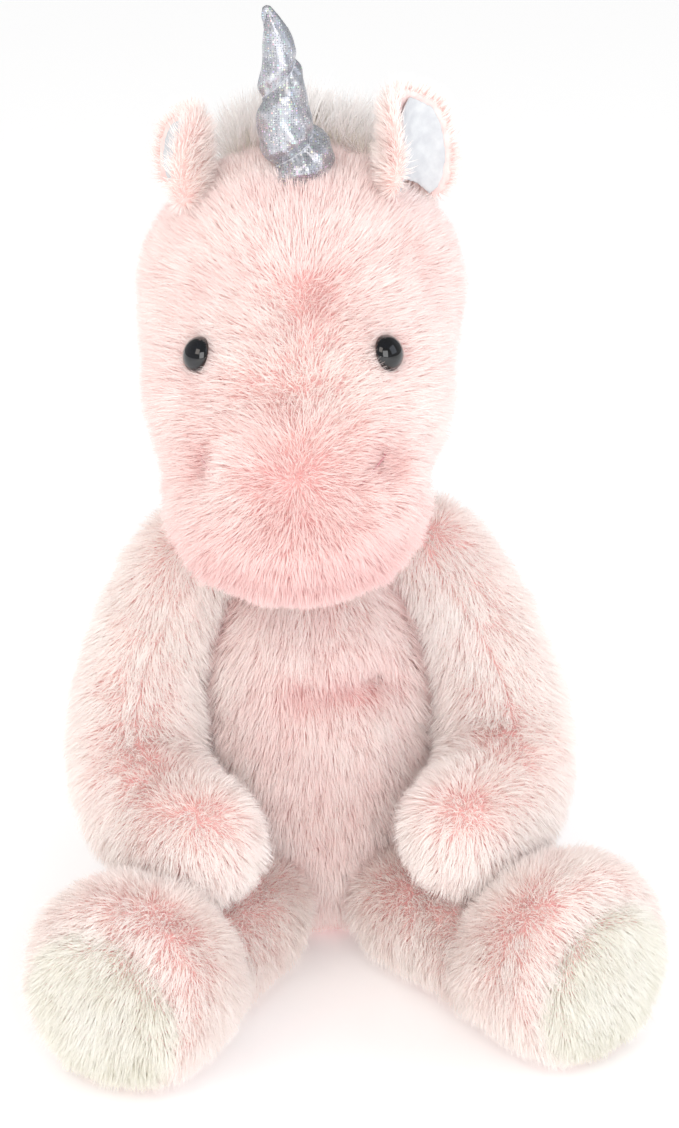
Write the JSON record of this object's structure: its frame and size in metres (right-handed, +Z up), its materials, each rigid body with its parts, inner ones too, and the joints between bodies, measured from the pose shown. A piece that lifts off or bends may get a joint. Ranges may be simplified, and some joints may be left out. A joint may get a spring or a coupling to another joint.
{
  "type": "plush unicorn",
  "caption": "Seated pink plush unicorn with a wound silver horn, white mane and soles, glossy eyes, and head, ears, arms, legs and tail that turn at their seams.",
  "frame": {"origin": "centre of the flat seat panel's underside, which rests on the floor", "axes": "+Z up; the toy faces -Y; +X is the toy's own left side"},
  "size_m": [0.2511, 0.2723, 0.4006],
  "materials": {
    "pink_plush": "matte",
    "white_plush": "matte",
    "velour": "matte",
    "fibrefill": "matte",
    "linen": "matte",
    "satin_tape": "satin",
    "silver_cloth": "satin",
    "silver_thread": "satin",
    "pink_thread": "matte",
    "black_eye": "gloss",
    "washer_plastic": "matte"
  },
  "bodies": {
    "torso": {"torso_front_left": "pink_plush", "torso_front_right": "pink_plush", "torso_back_left": "pink_plush", "torso_back_right": "pink_plush", "seat_panel": "pink_plush", "torso_stuffing": "fibrefill", "pellet_bag": "linen", "care_label": "satin_tape"},
    "neck": {"neck_stuffing": "fibrefill"},
    "head": {"head_crown_panel": "pink_plush", "head_left_panel": "pink_plush", "head_right_panel": "pink_plush", "chin_panel": "velour", "head_stuffing": "fibrefill", "eye_left": "black_eye", "eye_right": "black_eye", "eye_washer_left": "washer_plastic", "eye_washer_right": "washer_plastic", "mane": "white_plush", "muzzle_stitch_left": "pink_thread", "muzzle_stitch_right": "pink_thread"},
    "horn": {"horn_cover": "silver_cloth", "horn_stuffing": "fibrefill", "horn_thread": "silver_thread"},
    "ear_left": {"ear_left_plush": "pink_plush", "ear_left_lining": "velour"},
    "ear_right": {"ear_right_plush": "pink_plush", "ear_right_lining": "velour"},
    "arm_left": {"arm_left_outer_panel": "pink_plush", "arm_left_inner_panel": "pink_plush", "arm_left_stuffing": "fibrefill"},
    "leg_left": {"leg_left_outer_panel": "pink_plush", "leg_left_inner_panel": "pink_plush", "leg_left_stuffing": "fibrefill", "foot_left_sole": "white_plush"},
    "arm_right": {"arm_right_outer_panel": "pink_plush", "arm_right_inner_panel": "pink_plush", "arm_right_stuffing": "fibrefill"},
    "leg_right": {"leg_right_outer_panel": "pink_plush", "leg_right_inner_panel": "pink_plush", "leg_right_stuffing": "fibrefill", "foot_right_sole": "white_plush"},
    "tail": {"tail": "white_plush"}
  },
  "joints": [
    {"name": "neck_turn", "type": "hinge", "parent": "torso", "child": "neck", "pos_m": [-0.00395, 0, 0.15], "axis": [0, 0, 1], "range_deg": [-27, 43]},
    {"name": "head_nod", "type": "hinge", "parent": "neck", "child": "head", "pos_m": [-0.00395, 0, 0.15], "axis": [-0.9903, 0.1392, 0], "range_deg": [0, 20]},
    {"name": "horn_wobble", "type": "hinge", "parent": "head", "child": "horn", "pos_m": [-0.0105, -0.0119, 0.335], "axis": [0, 1, 0], "range_deg": [-10, 10]},
    {"name": "ear_left_fold", "type": "hinge", "parent": "head", "child": "ear_left", "pos_m": [0.0265, -0.0116, 0.3155], "axis": [0.6157, 0.788, 0], "range_deg": [-10, 12]},
    {"name": "ear_right_fold", "type": "hinge", "parent": "head", "child": "ear_right", "pos_m": [-0.0451, -0.0019, 0.3136], "axis": [0.1045, -0.9945, 0], "range_deg": [-10, 12]},
    {"name": "shoulder_left", "type": "hinge", "parent": "torso", "child": "arm_left", "pos_m": [0.04663, 0, 0.166], "axis": [-1, 0, 0], "range_deg": [0, 60]},
    {"name": "shoulder_right", "type": "hinge", "parent": "torso", "child": "arm_right", "pos_m": [-0.05537, 0, 0.166], "axis": [-1, 0, 0], "range_deg": [0, 60]},
    {"name": "hip_left", "type": "hinge", "parent": "torso", "child": "leg_left", "pos_m": [0.04, -0.056, 0.0254], "axis": [0, 0, 1], "range_deg": [-15, 15]},
    {"name": "hip_right", "type": "hinge", "parent": "torso", "child": "leg_right", "pos_m": [-0.04, -0.056, 0.0254], "axis": [0, 0, -1], "range_deg": [-15, 15]},
    {"name": "tail_swing", "type": "hinge", "parent": "torso", "child": "tail", "pos_m": [0, 0.0583, 0.03], "axis": [0, 0, 1], "range_deg": [-25, 25]}
  ]
}
